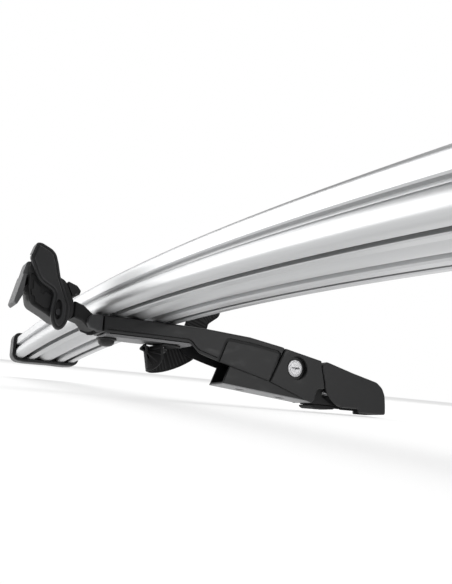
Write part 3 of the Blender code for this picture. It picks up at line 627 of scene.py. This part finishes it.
def endCap(name, side):
    wall, grip, low, high = cap["wall"], cap["grip"], cap["round"], cap["upperRound"]
    outer, top = rail["halfWidth"] + wall, rail["height"] + wall - 0.6
    outline = [(0.0, -wall + 0.4), (14.0, -wall + 0.1), (24.0, -wall)]
    outline += arc((outer - low, 6), (low, low + 0.2), -90, 0, 10)
    outline = mirrored(outline + arc((outer - high, top - high), (high, high), 0, 90, 10))
    rings = []
    for x, depth in ((-grip, 1.2), (-grip + 0.3, 0.5), (-grip + 1.2, 0.0)):
        rings.append([(side * x, y, z) for y, z in inset(outline, depth)])
    for i in range(cap["rings"] + 1):
        # the closed end swells outwards and draws in at its sides
        share = math.sin(i / cap["rings"] * math.pi / 2)
        drop = 1.0 - math.sqrt(1.0 - 0.96 * share ** 2)
        x = cap["bulgeFrom"] + (cap["nose"] - cap["bulgeFrom"]) * share
        rings.append([(side * x, y * (1 - cap["sideDraw"] * drop),
                       z + (rail["height"] / 2 - z) * cap["topDraw"] * drop) for y, z in outline])
    work = loft(rings)
    edge, inside = rail["halfWidth"] + gap, cap["insideRound"]
    inner = arc((edge - inside, inside), (inside, inside + gap), -90, 0, 6)
    inner += arc((edge - inside, rail["height"] - inside + gap), (inside, inside), 0, 90, 6)
    tools = [block(mirrored(inner), side * (-grip - 3), side * gap)]
    for y in cap["notchY"]:
        left, right, roof = y - cap["notchHalf"], y + cap["notchHalf"], cap["notchTop"]
        notch = softened([(left, -6.0), (right, -6.0), (right, roof), (left, roof)], 0.5, 2)
        tools.append(block(notch, *(side * x for x in cap["notchX"])))
    combine(work, *tools)
    angle = side * rail["length"] / 2 / rail["radius"]
    reach = rail["radius"] * mm
    spot = Vector((reach * math.sin(angle), 0.0, reach * (math.cos(angle) - 1)))
    matrix = Matrix.Translation(railOrigin + spot) @ Matrix.Rotation(angle, 4, "Y") @ Matrix.Scale(mm, 4)
    settle(name, work, matrix, blackMoulding, "rail", sharp=30.0)


endCap("left_end_cap", -1)
endCap("right_end_cap", 1)
print("rail and caps done")


# foot arm: cover, lock housing and end lever

armHalf = 14.5
innerHalf = 12.7
cover = {
    "outline": [(-30.5, -0.6), (40.5, -0.6), (54.6, -0.8), (97.6, -3.2), (129.6, -7.9), (132.4, -8.6),
                (117.8, -38.4), (70.0, -26.8), (51.2, -21.7), (42.5, -13.8), (-30.0, -13.8)],
    "corner": 1.6, "pathCorner": 3.2,
    "room": [(-28.0, -2.8), (40.5, -2.8), (54.6, -3.0), (97.6, -5.4), (129.6, -10.1), (140.0, -12.0),
             (140.0, -60.0), (-28.0, -60.0)],
    "panel": [(65.6, -33.0), (75.4, -7.4), (100.0, -9.2), (127.6, -13.2), (116.4, -42.0)],
    "lip": [(-27.5, -11.4), (42.0, -11.4), (50.0, -19.0), (67.0, -23.6)],
    "grooveWidth": 2.7, "lipWidth": 0.9, "grooveDepth": 1.2, "edge": 1.5}


def armCover(side, matrix, body):
    depth = cover["grooveDepth"]
    work = plate(softened(cover["outline"], cover["corner"]), armHalf, cover["edge"])
    tools = [block(cover["room"], -innerHalf, innerHalf)]
    for path, width in ((cover["panel"], cover["grooveWidth"]), (cover["lip"], cover["lipWidth"])):
        line = band(softened(path, cover["pathCorner"], 4, closed=False), width)
        tools += [block(line, armHalf - depth, armHalf + 2), block(line, -armHalf - 2, depth - armHalf)]
    combine(work, *tools)
    # the groove floors take the darker moulding: painted shade in the sunk grooves
    shadedGrooveFloors = [face.index for face in work.data.polygons
            if abs(face.normal.x) > 0.99 and abs(abs(face.center.x) - armHalf + depth) < 0.02]
    settle(side + "arm_cover", work, matrix, blackMoulding, body, second=(darkMoulding, shadedGrooveFloors))


housing = {
    "outline": [(133.0, -8.8), (171.2, -15.9), (171.6, -22.0), (174.2, -33.6), (175.3, -40.4),
                (167.5, -41.4), (164.1, -50.7), (161.6, -53.4), (118.4, -38.5)],
    "room": [(110.0, -6.5), (133.0, -11.0), (169.2, -17.9), (169.6, -24.0), (171.9, -34.8),
             (180.0, -34.8), (180.0, -60.0), (110.0, -60.0)],
    "corner": 1.2, "edge": 1.3, "boss": 3.4, "bossEnd": 13.6, "boreEnds": (-9.0, 21.0)}


def lockHousing(side, matrix, body):
    work = plate(softened(housing["outline"], housing["corner"]), armHalf, housing["edge"])
    centre = (0.0, lock["y"], lock["z"])
    combine(work, block(housing["room"], -innerHalf, innerHalf))
    around = lock["radius"] + housing["boss"]
    combine(work, turned([(around, 0.0), (around, housing["bossEnd"])], centre, "X"), operation="UNION")
    recess = lock["recess"]
    mouth = turned([(recess, armHalf - lock["depth"]), (recess, armHalf - 0.8),
                    (recess + 0.25, armHalf - 0.3), (recess + 1.2, armHalf + 0.4)], centre, "X")
    bore = turned([(lock["radius"] + gap, end) for end in housing["boreEnds"]], centre, "X")
    settle(side + "lock_housing", combine(work, mouth, bore), matrix, blackMoulding, body)


def lockCylinder(side, matrix, body):
    face = armHalf - lock["depth"] + lock["proud"]
    centre = (0.0, lock["y"], lock["z"])
    r = lock["radius"]
    profile = [(0.0, -2.0), (r - 0.5, -2.0), (r, -1.5), (r, face - 0.7), (r - 0.2, face - 0.25),
               (r - 0.7, face), (r - 1.5, face), (r - 1.7, face - 0.25), (r - 2.0, face - 0.25),
               (r - 2.2, face), (0.0, face)]
    work = turned(profile, centre, "X", 64)
    y, z, reach, wide = lock["y"], lock["z"], lock["slotHalf"], lock["slotWide"]
    keyway = softened([(y - reach, z - wide), (y - 0.6, z - wide), (y - 0.6, z - 1.2), (y + 0.6, z - 1.2),
                       (y + 0.6, z - wide), (y + reach, z - wide), (y + reach, z + wide),
                       (y - reach, z + wide)], 0.4, 2)
    combine(work, block(keyway, face - lock["slotDeep"], face + 3.0))
    finish = lockFace(side + "lockFace", matrix @ Vector(centre))
    settle(side + "lock_cylinder", work, matrix, finish, body, 30.0)


endLever = {
    "pin": (177.5, -22.0), "pinRound": 5.6, "corner": 2.2, "edge": 1.2,
    "front": [(205.6, -23.4), (233.9, -29.7), (240.2, -34.6), (243.2, -41.0), (243.8, -50.0), (243.8, -58.8),
              (213.1, -58.8), (213.0, -55.3), (192.5, -55.3)],
    "room": [(160.0, -16.0), (172.0, -23.6), (184.0, -21.2), (205.0, -25.8), (232.8, -31.9),
             (238.2, -36.2), (241.2, -43.0), (241.6, -70.0), (160.0, -70.0)],
    "heel": ((197.5, -33.0), (22.6, 22.4), 258, 182), "pocketHalf": 9.5,
    "farFoot": [(205.0, -62.0), (228.5, -62.0), (228.5, -55.8), (205.0, -55.8)], "farFootEnd": 8.0}


def footLever(side, matrix, body):
    y, z = endLever["pin"]
    corner, half = endLever["pinRound"], endLever["pocketHalf"]
    outline = endLever["front"] + arc(*endLever["heel"], 12)
    outline += arc((y, z), (corner, corner), 180, 78, 8)
    work = plate(softened(outline, endLever["corner"]), armHalf, endLever["edge"])
    room = block(endLever["room"], -innerHalf, innerHalf)
    pocket = block([(y - 12, z - 14), (y + 6, z - 14), (y + 6, z + 3.3), (y - 12, z + 3.3)], -half, half)
    # the far wall's foot is shorter than the near one's
    farFoot = block(endLever["farFoot"], -armHalf - 2, endLever["farFootEnd"])
    settle(side + "end_lever", combine(work, room, pocket, farFoot), matrix, blackMoulding, body)


# clamp: jaw, pad, screw, nut and bar channel

clamp = {
    "jaw": [(164.6, -54.0), (164.6, -47.5), (168.5, -46.6), (168.5, -38.0), (176.0, -38.0), (176.0, -47.0),
            (188.5, -52.6), (190.0, -54.0)], "jawHalf": 9.0, "jawBoreY": (157.0, 187.0),
    "pad": [(164.2, -54.3), (190.2, -54.3), (191.0, -55.6), (188.0, -57.4), (166.5, -57.4), (163.6, -55.6)],
    "padHalf": 9.6, "padGrooves": range(169, 188, 3), "grooveHalf": 0.6}
screw = {"z": -42.3, "radius": 2.5, "pitch": 1.0, "tip": 152.0, "thread": (153.0, 203.0), "depth": 0.32,
         "headRadius": 4.6, "head": (202.6, 207.5), "socket": 2.2, "socketEnd": 205.0}
channel = {
    "outline": [(74.1, -44.2), (80.5, -28.0), (128.0, -36.8), (152.0, -37.2), (160.0, -43.0), (162.7, -53.0)],
    "half": 12.4, "wall": 2.0, "sole": 1.0, "holes": (97.0, 137.0), "holeRadius": 4.0,
    "pivot": (146.0, -40.0), "pivotRadius": 2.45}


def clampJaw(side, matrix, body):
    half = clamp["jawHalf"]
    jaw = plate(softened(clamp["jaw"], 0.9, 3), half, 0.7)
    bore = turned([(screw["radius"] + 0.5, y) for y in clamp["jawBoreY"]], (0.0, 0.0, screw["z"]), "Y", 32)
    settle(side + "clamp_jaw", combine(jaw, bore), matrix, jawMoulding, body)
    half, wide = clamp["padHalf"], clamp["grooveHalf"]
    pad = plate(softened(clamp["pad"], 0.8, 3), half, 0.8)
    grooves = [block(softened([(y - wide, -58.2), (y + wide, -58.2), (y + wide - 0.25, -56.6),
                               (y - wide + 0.25, -56.6)], 0.2, 2), -11.0, 11.0)
               for y in clamp["padGrooves"]]
    settle(side + "jaw_pad", combine(pad, *grooves), matrix, strapRubber, body)


def clampScrew(side, matrix, body):
    # a thread of close rings from the nut to the head, and a socket in the head
    r, pitch, low, tip = screw["radius"], screw["pitch"], screw["radius"] - screw["depth"], screw["tip"]
    first, last = screw["thread"]
    profile = [(0.0, tip), (r - 0.6, tip), (r - 0.3, tip + 0.5)]
    for i in range(int((last - first) / pitch)):
        start = first + i * pitch
        profile += [(low, start), (r, start + 0.35 * pitch), (r, start + 0.5 * pitch),
                    (low, start + 0.85 * pitch)]
    under, top = screw["head"]
    head, socket = screw["headRadius"], screw["socket"]
    profile += [(r, under), (head - 0.3, under), (head, under + 0.4), (head, top - 0.7), (head - 0.4, top),
                (socket + 0.2, top), (socket, screw["socketEnd"]), (0.0, screw["socketEnd"])]
    settle(side + "clamp_screw", turned(profile, (0.0, 0.0, screw["z"]), "Y", 24), matrix, zincPlate, body,
           50.0)


def barChannel(side, matrix, body):
    # dark side walls on a sole painted light grey for the light its underside catches, with two holes
    outline, half, wall, sole = (channel[key] for key in ("outline", "half", "wall", "sole"))
    (frontY, frontZ), (backY, backZ) = outline[0], outline[-1]
    slope = (backZ - frontZ) / (backY - frontY)

    def floorAt(y, lift):
        return y, frontZ + slope * (y - frontY) + lift

    def holes():
        profile = [(channel["holeRadius"], z) for z in (-56.0, -40.0)]
        return [turned(profile, (0.0, y, 0.0), "Z", 32) for y in channel["holes"]]

    walls = plate(softened(outline, 0.8, 3), half, 0.5, 2)
    room = block([floorAt(60.0, wall), floorAt(180.0, wall), (180.0, 0.0), (60.0, 0.0)],
                 wall - half, half - wall)
    under = block([floorAt(60.0, sole - 0.1), floorAt(180.0, sole - 0.1), (180.0, -70.0), (60.0, -70.0)],
                  -half - 4, half + 4)
    pivot = turned([(channel["pivotRadius"], -20.0), (channel["pivotRadius"], 20.0)],
                   (0.0, *channel["pivot"]), "X", 24)
    settle(side + "bar_channel", combine(walls, room, under, pivot, *holes()), matrix, blackMoulding, body)
    # a thin sheet under the floor whose light grey is painted light on the channel's underside
    paintedLightSheet = [(frontY + 0.1, frontZ), (backY - 0.1, floorAt(backY, 0.0)[1]),
             (backY - 0.4, floorAt(backY, sole)[1]), (frontY + 0.4, frontZ + sole)]
    settle(side + "channel_sole", combine(plate(paintedLightSheet, half, 0.3, 2), *holes()), matrix, soleMoulding,
           body, stands=False)


nut = {"radius": 8.0, "seat": -16.6, "rearDrop": 3.1, "rearSize": 0.62,
       "shape": [(0.02, 0.0), (0.97, 0.0), (1.0, -0.4), (1.0, -1.2), (0.95, -1.5), (0.8, -1.8), (0.79, -3.4),
                 (0.74, -4.3), (0.6, -5.3), (0.4, -6.0), (0.2, -6.3), (0.02, -6.4)]}  # share of radius, z


def domeNuts(side, matrix, body):
    for tag, y, top, size in (("front", -rail["slotY"], nut["seat"], 1.0),
                              ("rear", rail["slotY"], nut["seat"] - nut["rearDrop"], nut["rearSize"])):
        profile = [(share * nut["radius"] * size, depth * size) for share, depth in nut["shape"]]
        dome = turned(profile, (0.0, y, top), "Z", 48)
        settle(side + tag + "_dome_nut", dome, matrix, darkMoulding, body, sharp=30.0)


# ladder strap: each knot is a place and how far the band has turned from flat to upright

strap = {
    "knots": [((0, 34.5, -17.9), 0.0), ((0.8, 19.4, -17.9), 0.0), ((2.2, 15.6, -22.6), 0.34),
              ((2.4, 12.8, -27.0), 0.8), ((-1.0, 11.2, -27.9), 1.0), ((-6.0, 13.2, -27.9), 1.0),
              ((-13.9, 21.5, -27.7), 1.0), ((-17.1, 33.0, -25.2), 1.0), ((-18.2, 46.5, -19.4), 1.0),
              ((-19.0, 57.0, -11.5), 1.0), ((-19.8, 61.5, 3.0), 1.0), ((-20.6, 65.5, 15.0), 1.0),
              ((-22.0, 74.0, 22.5), 1.0), ((-23.4, 84.5, 29.5), 1.0)],
    "stepsPerKnot": 10, "evening": 6, "half": 10.9, "outer": 1.05, "inner": 0.25, "tipLength": 9.0,
    "toothHeight": 1.5, "toothPitch": 3.1, "toothFrom": 20.0, "toothEnd": 5.0, "edgeMargin": 1.7}


def smooth(before, start, end, after, t):
    return 0.5 * (2 * start + (end - before) * t + (2 * before - 5 * start + 4 * end - after) * t ** 2
                  + (3 * start - before - 3 * end + after) * t ** 3)


def strapStations():
    points = [Vector(point) for point, turn in strap["knots"]]
    turns = [turn for point, turn in strap["knots"]]
    middle, twist = [points[0]], [0.0]
    for i in range(len(points) - 1):
        before, after = points[max(i - 1, 0)], points[min(i + 2, len(points) - 1)]
        for k in range(1, strap["stepsPerKnot"] + 1):
            t = k / strap["stepsPerKnot"]
            middle.append(smooth(before, points[i], points[i + 1], after, t))
            twist.append(turns[i] + (turns[i + 1] - turns[i]) * t)
    stations, run = [], 0.0
    flat, upright = Vector((1, 0, 0)), Vector((0, 0.2, -0.98))
    for i, point in enumerate(middle):
        tangent = (middle[min(i + 1, len(middle) - 1)] - middle[max(i - 1, 0)]).normalized()
        width = flat.lerp(upright, twist[i]).normalized()
        width = (width - tangent * width.dot(tangent)).normalized()
        run += (point - middle[i - 1]).length if i else 0.0
        stations.append((point, tangent, width, run))
    # the sideways direction is evened out, so that the band turns without a crease
    widths = [s[2] for s in stations]
    for _ in range(strap["evening"]):
        widths = [(widths[max(i - 1, 0)] + widths[i] * 2 + widths[min(i + 1, len(widths) - 1)]).normalized()
                  for i in range(len(widths))]
    even = []
    for (point, tangent, _, run), width in zip(stations, widths):
        width = (width - tangent * width.dot(tangent)).normalized()
        even.append((point, tangent, width, tangent.cross(width), run))
    return even


def ladderStrap(side, matrix, body):
    stations = strapStations()
    total = stations[-1][4]
    half, outer, inner = strap["half"], strap["outer"], strap["inner"]
    # the section, as a share of the half width and a height: ribbed face first, then the beaded outer face
    section = [(-1, -inner), (-0.97, -inner - 0.12), (0.97, -inner - 0.12), (1, -inner), (1, outer - 0.5),
               (0.97, outer - 0.15), (0.9, outer), (0.84, outer - 0.12), (-0.84, outer - 0.12),
               (-0.9, outer), (-0.97, outer - 0.15), (-1, outer - 0.5)]
    rings = []
    for point, tangent, width, face, run in stations:
        tip = half * math.sqrt(max(0.05, 1 - max(0.0, 1 - (total - run) / strap["tipLength"]) ** 2))
        rings.append([point + width * (a * tip) + face * b for a, b in section])
    work = loft(rings)
    spots, nextAt = [], strap["toothFrom"]
    for point, tangent, width, face, run in stations:
        if run >= nextAt and total - run > strap["toothEnd"]:
            spots.append((point - face * (inner + 0.1), width, tangent))
            nextAt += strap["toothPitch"]
    reach, height = half - strap["edgeMargin"], strap["toothHeight"]
    tooth = loft([[(x, -0.75 * s, 0.3), (x, 0.55 * s, 0.3), (x, 0.2 * s, 0.1 - height * s),
                   (x, -0.55 * s, 0.1 - height * s)]
                  for x, s in ((-reach, 0.6), (-reach + 0.6, 1.0), (reach - 0.6, 1.0), (reach, 0.6))])
    plain = len(work.data.polygons)
    # the teeth get a lighter rubber colour: a painted highlight on their lit tops
    joined(work, repeated(tooth, spots, ribRubber))
    ribs = range(plain, len(work.data.polygons))
    settle(side + "ladder_strap", work, matrix, strapRubber, body, 34.0, (ribRubber, ribs))


# ratchet buckle

buckle = {
    "nose": [(-43.4, -8.4), (-42.9, -5.0), (-40.2, -1.4), (-35.6, -0.7), (-30.8, -0.7), (-30.8, -13.8),
             (-35.2, -14.2), (-36.4, -13.2), (-41.0, -12.2)],
    "forkSlot": [(-60.0, -30.0), (-31.3, -30.0), (-31.3, 20.0), (-60.0, 20.0)],
    "neckPin": (-36.5, -7.5), "neckRound": 4.8, "neckHalf": 10.5, "neckRibs": 4, "neckRibHalf": 7.6,
    "half": 14.5, "cheekInner": 10.9, "frameHalf": 10.5, "frameInner": 8.0, "windowDepth": 1.9,
    "panelDrop": 0.8, "gripInner": 3.5, "bridgeShort": 3.2, "releaseHalf": 12.0,
    "frame": [(-84.5, 33.0), (-89.4, 31.0), (-88.8, 12.0), (-86.2, 0.6), (-74.5, -5.2), (-66.0, -10.5),
              (-57.5, -8.0), (-53.6, -4.0), (-53.6, 6.0), (-61.6, 22.0), (-76.0, 27.0)],
    "frameRoom": [(-100.0, 40.0), (-100.0, 24.0), (-87.0, 14.0), (-84.2, 2.4), (-73.4, -2.6), (-66.0, -8.0),
                  (-40.0, -8.0), (-40.0, 40.0)],
    "window": [(-87.9, 24.0), (-87.3, 11.6), (-84.9, 1.8), (-74.2, -3.6), (-68.6, -3.0), (-68.0, 10.4),
               (-80.0, 17.0), (-83.6, 23.0)],
    "panel": [(-85.4, 19.0), (-84.6, 12.6), (-86.4, 11.4), (-85.6, 7.6), (-83.4, 7.6), (-82.4, 2.8),
              (-75.4, -0.8), (-71.4, -0.4), (-70.6, 9.0), (-75.6, 11.8), (-76.8, 9.4), (-79.2, 10.6),
              (-79.0, 13.4), (-83.0, 17.4)],
    "paddle": [(-86.6, 46.4), (-83.0, 46.9), (-74.6, 43.2), (-71.4, 40.0), (-69.0, 33.0), (-66.7, 23.8),
               (-60.4, 9.4)],
    "lug": ((-64.4, -2.2), (7.1, 14.0), 25, -195),
    "paddleLeft": [(-70.2, 11.4), (-80.6, 17.2), (-83.6, 20.6), (-90.2, 34.6), (-89.4, 37.4)],
    "bridge": [(-80.2, 44.4), (-75.2, 42.4), (-72.0, 39.4), (-69.8, 32.9), (-67.5, 23.5), (-61.4, 9.4)],
    "foot": ((-62.6, -0.2), (5.4, 5.4), 10, -165),
    "bridgeLeft": [(-67.9, 2.0), (-73.0, 16.0), (-78.0, 25.0), (-81.6, 34.0), (-81.8, 40.0)],
    "paddleRoom": [(-100.0, 38.5), (-84.0, 38.5), (-83.2, 34.0), (-40.0, 34.0), (-40.0, -20.0),
                   (-100.0, -20.0)],
    "eye": ((-66.0, -1.4), (2.4, 7.2)), "eyeFloor": 9.0,
    "rim": [(9.6, 0.0), (12.8, 0.0), (13.4, 0.25), (13.7, 0.8), (13.7, 1.6), (13.3, 1.85), (13.3, 2.2),
            (14.3, 2.9), (14.5, 3.4)],
    "release": [(-84.8, 31.0), (-86.4, 33.0), (-91.0, 32.2), (-98.0, 1.0), (-95.6, -1.4), (-92.0, 6.5),
                (-90.8, 21.5), (-85.0, 24.6)],
    "releaseTrim": [(-80.0, 22.0), (-80.0, 44.0), (-105.0, 44.0), (-105.0, 22.0)],
    "gate": [(-60.2, 20.0), (-59.6, 21.6), (-52.6, 19.2), (-49.4, 15.6), (-50.4, 12.2), (-52.8, 13.4),
             (-54.2, 10.8), (-55.2, 10.4)],
    "neckTop": [(-52.9, 7.4), (-46.0, 5.2), (-40.6, 1.0)],
    "neckBottom": [(-42.0, -11.0), (-46.5, -6.8), (-52.9, -5.0)]}


def noseAndNeck(side, matrix, body):
    # the arm ends in a fork, and a short curled strap hinges in it
    b = buckle
    half, rounded = b["neckHalf"], b["neckRound"]
    tip = plate(softened(b["nose"], 0.9, 3), armHalf, 2.2, 2)
    slot = block(b["forkSlot"], -half - 0.4, half + 0.4)
    settle(side + "arm_tip", combine(tip, slot), matrix, greyMoulding, side + "arm")
    neck = plate(b["neckTop"] + arc(b["neckPin"], (rounded, rounded), 75, -90, 12) + b["neckBottom"],
                 half, 1.6, 4)
    rib = loft([[(x, -0.8, -0.3), (x, 0.5, -0.3), (x, 0.1, 0.3), (x, -0.5, 0.3)]
                for x in (-b["neckRibHalf"], b["neckRibHalf"])])
    spots = []
    for i in range(b["neckRibs"]):
        t = (i + 0.6) / b["neckRibs"]
        spots.append((Vector((0.0, -52.4 + 6.4 * t, 7.1 - 2.0 * t)), (1, 0, 0), (0, 0.95, -0.3)))
    joined(neck, repeated(rib, spots, strapRubber))
    settle(side + "buckle_neck", neck, matrix, strapRubber, body)


def buckleFrame(side, matrix, body):
    # two cheeks joined by a floor, each cheek with a sunk window round a raised panel
    b = buckle
    half, inner, depth = b["frameHalf"], b["frameInner"], b["windowDepth"]
    frameWork = plate(softened(b["frame"], 3.4, 6), half, 0.9)
    tools = [block(b["frameRoom"], -inner, inner)]
    for low, high in ((half - depth, half + 3), (-half - 3, depth - half)):
        tools.append(block(softened(b["window"], 1.8), low, high))
    combine(frameWork, *tools)
    drop = b["panelDrop"]
    panels = [slab(softened(b["panel"], 0.5, 2), [(low, 0.0), (mid, 0.0), (high, 0.3)])
              for low, mid, high in ((half - depth - 0.2, half - drop - 0.25, half - drop),
                                     (depth + 0.2 - half, drop + 0.25 - half, drop - half))]
    combine(frameWork, *panels, operation="UNION")
    settle(side + "buckle_frame", frameWork, matrix, darkMoulding, body)
    gate = plate(softened(b["gate"], 0.7, 3), half, 0.6)
    settle(side + "strap_gate", gate, matrix, darkMoulding, body)


def bucklePaddle(side, matrix, body):
    # a rimmed plate with an eye at its foot, and a slim arm on the far side
    b = buckle
    half, grip, cheek = b["half"], b["gripInner"], b["cheekInner"]
    outline = softened(thinned(b["paddle"] + arc(*b["lug"], 28) + b["paddleLeft"]), 3.0, 5)
    plate = slab(outline, [(grip, 0.9), (grip + 0.9, 0.0)] + b["rim"])
    bridge = slab(thinned(b["bridge"] + arc(*b["foot"], 14) + b["bridgeLeft"]),
                  edges(-half, half - b["bridgeShort"], 0.9))
    combine(plate, bridge, operation="UNION")
    room = block(b["paddleRoom"], -cheek, cheek)
    eye = slab(arc(*b["eye"], 0, 345, 23), [(b["eyeFloor"], 0.0), (half - 0.9, 0.0), (half - 0.2, -0.5),
                                            (half + 1.0, -1.6)])
    settle(side + "buckle_paddle", combine(plate, room, eye), matrix, paddleMoulding, body)


def releaseLever(side, matrix, body):
    half, inner = buckle["releaseHalf"], buckle["frameInner"] - 0.5
    release = plate(softened(buckle["release"], 1.3), half, 0.9)
    trims = [block(buckle["releaseTrim"], *ends) for ends in ((inner, 20.0), (-20.0, -inner))]
    settle(side + "release_lever", combine(release, *trims), matrix, releaseMoulding, body)


builders = [(armCover, "arm"), (lockHousing, "arm"), (lockCylinder, "lock"), (footLever, "lever"),
            (clampJaw, "jaw"), (clampScrew, "arm"), (barChannel, "channel"), (domeNuts, "arm"),
            (ladderStrap, "arm"), (noseAndNeck, "buckle"), (buckleFrame, "buckle"),
            (bucklePaddle, "paddle"), (releaseLever, "release")]
for side, matrix in (("left_", leftPlace), ("right_", rightPlace)):
    for build, body in builders:
        build(side, matrix, side + body)
    print(side + "arm done")


# CAD nodes that stay as they are only get a finish
kept = {"clamp_plate": darkZinc, "front_rail_bolt": zincPlate, "rear_rail_bolt": zincPlate,
        "channel_pin": darkSteel, "lock_cam": zincPlate, "lever_pin": darkSteel, "hinge_block": darkSteel,
        "clamp_nut": zincPlate, "neck_pin": darkSteel, "paddle_pin": darkSteel, "release_pin": darkSteel}
for name, node in frame["nodes"].items():
    finish = kept.get(name.split("_", 1)[-1])
    if finish:
        node.data.materials.clear()
        node.data.materials.append(finish)


# studio: pale floor, white surround, soft lights and the camera

studio = {"floorSize": 14.0, "floorDrop": 0.0006, "floorGlow": 0.62, "surround": 0.30, "backdrop": 1.0,
          "aim": (-0.3, 0.0, 0.05)}
softboxes = [  # name, place, size, power
    ("overhead", (-0.2, 0.1, 2.4), 2.2, 30.0),
    ("leftSide", (-2.3, -1.7, 1.0), 2.2, 42.0),
    ("farRight", (1.45, 0.95, 0.52), 0.4, 2.6),
    ("behind", (-1.2, 2.2, 1.4), 1.6, 16.0)]


def paleFloor():
    mesh = bpy.data.meshes.new("floor")
    bm = bmesh.new()
    bmesh.ops.create_grid(bm, x_segments=4, y_segments=4, size=studio["floorSize"] / 2)
    bm.to_mesh(mesh)
    bm.free()
    mesh.transform(Matrix.Translation((0.0, 0.0, -studio["floorDrop"])))
    finish = Finish("paleFloor", 0.9, 0.0, 0.0)
    finish.colour(finish.noise(1.5, 2.0), (0.43, 0.43, 0.43), (0.47, 0.47, 0.47))
    finish.shader.inputs["Emission Color"].default_value = (1.0, 1.0, 1.0, 1.0)
    finish.shader.inputs["Emission Strength"].default_value = studio["floorGlow"]
    mesh.materials.append(finish.material)
    linked(mesh, "floor")


def softbox(name, place, size, power):
    data = bpy.data.lights.new(name, "AREA")
    data.shape, data.size, data.energy = "SQUARE", size, power
    light = linked(data, name)
    light.location = place
    towards = Vector(studio["aim"]) - Vector(place)
    light.rotation_euler = towards.to_track_quat("-Z", "Y").to_euler()


def surround():
    # a white backdrop to look at, and a dimmer grey room to be lit by
    world = bpy.data.worlds.new("studioWhite")
    world.use_nodes = True
    graph = Graph(world.node_tree)
    seen = graph.add("ShaderNodeLightPath").outputs["Is Camera Ray"]
    strength = Num(graph, seen) * (studio["backdrop"] - studio["surround"]) + studio["surround"]
    shade = world.node_tree.nodes["Background"]
    shade.inputs[0].default_value = (1.0, 1.0, 1.0, 1.0)
    graph.tree.links.new(strength.socket, shade.inputs[1])
    bpy.context.scene.world = world


view = {"lens": 42.48, "sensor": 36.0, "nearest": 0.01, "place": (0.15598, -0.2607, 0.02126),
        "right": (0.46306, 0.88097, 0.09729), "up": (0.06597, -0.14373, 0.98742),
        "back": (0.88387, -0.45082, -0.12467)}


def viewCamera():
    data = bpy.data.cameras.new("camera")
    data.lens, data.sensor_width, data.clip_start = view["lens"], view["sensor"], view["nearest"]
    camera = linked(data, "camera")
    turn = Matrix((view["right"], view["up"], view["back"])).transposed().to_4x4()
    camera.matrix_world = Matrix.Translation(view["place"]) @ turn
    bpy.context.scene.camera = camera


bpy.context.scene.view_settings.view_transform = "Standard"
paleFloor()
surround()
for box in softboxes:
    softbox(*box)
viewCamera()
print("studio ready")
